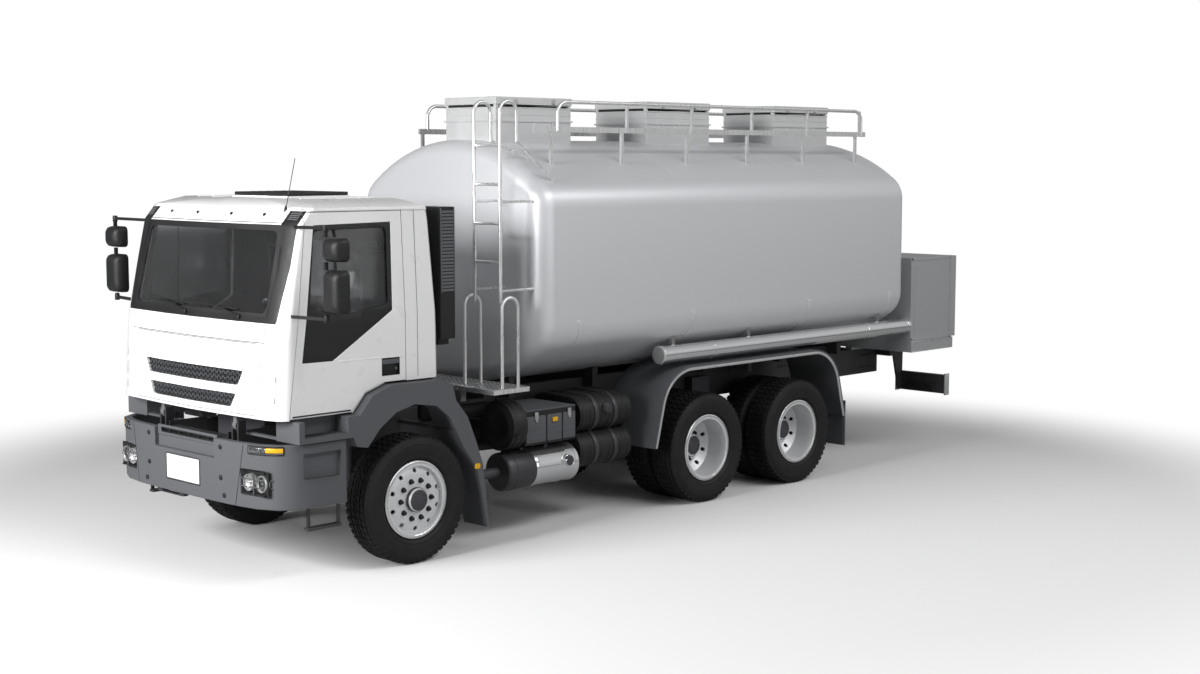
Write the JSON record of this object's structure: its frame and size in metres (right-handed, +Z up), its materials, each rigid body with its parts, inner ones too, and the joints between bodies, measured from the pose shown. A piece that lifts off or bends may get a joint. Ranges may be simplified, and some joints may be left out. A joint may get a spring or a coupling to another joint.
{
  "type": "tanker truck",
  "caption": "Rigid tanker truck with a forward-control tilt cab, oval silver tank with railed walkway and filling boxes, rear cabinet, steered front wheels and twin rear wheels.",
  "frame": {"origin": "on the ground under the middle of the truck's length and width", "axes": "+Z up, the front faces -Y, +X is the truck's left side"},
  "size_m": [3.344, 9.12, 3.8143],
  "materials": {
    "white_paint": "gloss",
    "tank_silver": "satin",
    "chassis_black": "satin",
    "cast_dark": "rough",
    "bumper_plastic": "matt",
    "tyre": "matt",
    "rim_silver": "satin",
    "bright_steel": "polished",
    "box_grey": "satin",
    "cabinet_grey": "satin",
    "locker_plastic": "matt",
    "glass": "clear, dark",
    "seat_fabric": "woven",
    "dash_plastic": "matt",
    "mirror_plastic": "matt"
  },
  "bodies": {
    "chassis": {"chassis_frame": "chassis_black", "engine_block": "cast_dark", "front_axle": "cast_dark", "rear_axles": "cast_dark", "bumper": "bumper_plastic", "front_fenders": "bumper_plastic", "rear_mudguards": "bumper_plastic", "tank": "tank_silver", "hose_tubes": "bright_steel", "ladder": "bright_steel", "handrails": "bright_steel", "fill_boxes": "box_grey", "cabinet": "cabinet_grey", "air_cleaner": "locker_plastic", "side_lockers": "locker_plastic", "muffler": "bright_steel", "fuel_tanks": "locker_plastic"},
    "cab": {"cab_shell": "white_paint", "cab_glass": "glass", "mirrors": "mirror_plastic", "seats": "seat_fabric", "dashboard": "dash_plastic"},
    "left_cab_door": {"left_door": "white_paint"},
    "right_cab_door": {"right_door": "white_paint"},
    "front_flap": {"grille_flap": "white_paint"},
    "hatch": {"roof_hatch": "bumper_plastic"},
    "hand_wheel": {"steering_wheel": "dash_plastic"},
    "steer_left": {"left_knuckle": "cast_dark"},
    "steer_right": {"right_knuckle": "cast_dark"},
    "wheel_front_left": {"front_left_tyre": "tyre", "front_left_rim": "rim_silver"},
    "wheel_front_right": {"front_right_tyre": "tyre", "front_right_rim": "rim_silver"},
    "wheels_mid_left": {"mid_left_tyres": "tyre", "mid_left_rims": "rim_silver"},
    "wheels_mid_right": {"mid_right_tyres": "tyre", "mid_right_rims": "rim_silver"},
    "wheels_rear_left": {"rear_left_tyres": "tyre", "rear_left_rims": "rim_silver"},
    "wheels_rear_right": {"rear_right_tyres": "tyre", "rear_right_rims": "rim_silver"},
    "lid_1": {"fill_lid_1": "box_grey"},
    "lid_2": {"fill_lid_2": "box_grey"},
    "lid_3": {"fill_lid_3": "box_grey"},
    "rear_door": {"cabinet_door": "cabinet_grey"}
  },
  "joints": [
    {"name": "left_steer", "type": "hinge", "parent": "chassis", "child": "steer_left", "pos_m": [0.89, -3.16, 0.525], "axis": [0, 0, 1], "range_deg": [-35, 35]},
    {"name": "right_steer", "type": "hinge", "parent": "chassis", "child": "steer_right", "pos_m": [-0.89, -3.16, 0.525], "axis": [0, 0, 1], "range_deg": [-35, 35]},
    {"name": "front_left_spin", "type": "hinge", "parent": "steer_left", "child": "wheel_front_left", "pos_m": [1.08, -3.16, 0.525], "axis": [1, 0, 0], "continuous": true},
    {"name": "front_right_spin", "type": "hinge", "parent": "steer_right", "child": "wheel_front_right", "pos_m": [-1.08, -3.16, 0.525], "axis": [1, 0, 0], "continuous": true},
    {"name": "mid_left_spin", "type": "hinge", "parent": "chassis", "child": "wheels_mid_left", "pos_m": [0.927, 0.39, 0.525], "axis": [1, 0, 0], "continuous": true},
    {"name": "mid_right_spin", "type": "hinge", "parent": "chassis", "child": "wheels_mid_right", "pos_m": [-0.927, 0.39, 0.525], "axis": [1, 0, 0], "continuous": true},
    {"name": "rear_left_spin", "type": "hinge", "parent": "chassis", "child": "wheels_rear_left", "pos_m": [0.927, 1.77, 0.525], "axis": [1, 0, 0], "continuous": true},
    {"name": "rear_right_spin", "type": "hinge", "parent": "chassis", "child": "wheels_rear_right", "pos_m": [-0.927, 1.77, 0.525], "axis": [1, 0, 0], "continuous": true},
    {"name": "cab_tilt", "type": "hinge", "parent": "chassis", "child": "cab", "pos_m": [0, -4.375, 1.195], "axis": [1, 0, 0], "range_deg": [0, 60]},
    {"name": "left_door_swing", "type": "hinge", "parent": "cab", "child": "left_cab_door", "pos_m": [1.152, -4.338, 1.296], "axis": [0, -0.1287, -0.9917], "range_deg": [0, 65]},
    {"name": "right_door_swing", "type": "hinge", "parent": "cab", "child": "right_cab_door", "pos_m": [-1.152, -4.338, 1.296], "axis": [0, 0.1287, 0.9917], "range_deg": [0, 65]},
    {"name": "flap_swing", "type": "hinge", "parent": "cab", "child": "front_flap", "pos_m": [0, -4.475, 1.858], "axis": [-1, 0, 0], "range_deg": [0, 80]},
    {"name": "hand_wheel_turn", "type": "hinge", "parent": "cab", "child": "hand_wheel", "pos_m": [0.6, -3.93, 2.06], "axis": [0, 0.4695, 0.8829], "range_deg": [-560, 560]},
    {"name": "lid_1_swing", "type": "hinge", "parent": "chassis", "child": "lid_1", "pos_m": [-0.352, -1.0275, 3.7443], "axis": [0, -1, 0], "range_deg": [0, 95]},
    {"name": "lid_2_swing", "type": "hinge", "parent": "chassis", "child": "lid_2", "pos_m": [-0.352, 0.9325, 3.7443], "axis": [0, -1, 0], "range_deg": [0, 95]},
    {"name": "lid_3_swing", "type": "hinge", "parent": "chassis", "child": "lid_3", "pos_m": [-0.352, 2.8925, 3.7443], "axis": [0, -1, 0], "range_deg": [0, 95]},
    {"name": "rear_door_swing", "type": "hinge", "parent": "chassis", "child": "rear_door", "pos_m": [0, 4.562, 2.142], "axis": [1, 0, 0], "range_deg": [0, 90]},
    {"name": "hatch_swing", "type": "hinge", "parent": "cab", "child": "hatch", "pos_m": [0, -3.168, 2.9603], "axis": [-1, 0, 0], "range_deg": [0, 30]}
  ],
  "couplings": [
    {"joint": "right_steer", "follows": "left_steer", "ratio": 1},
    {"joint": "hand_wheel_turn", "follows": "left_steer", "ratio": 16}
  ]
}
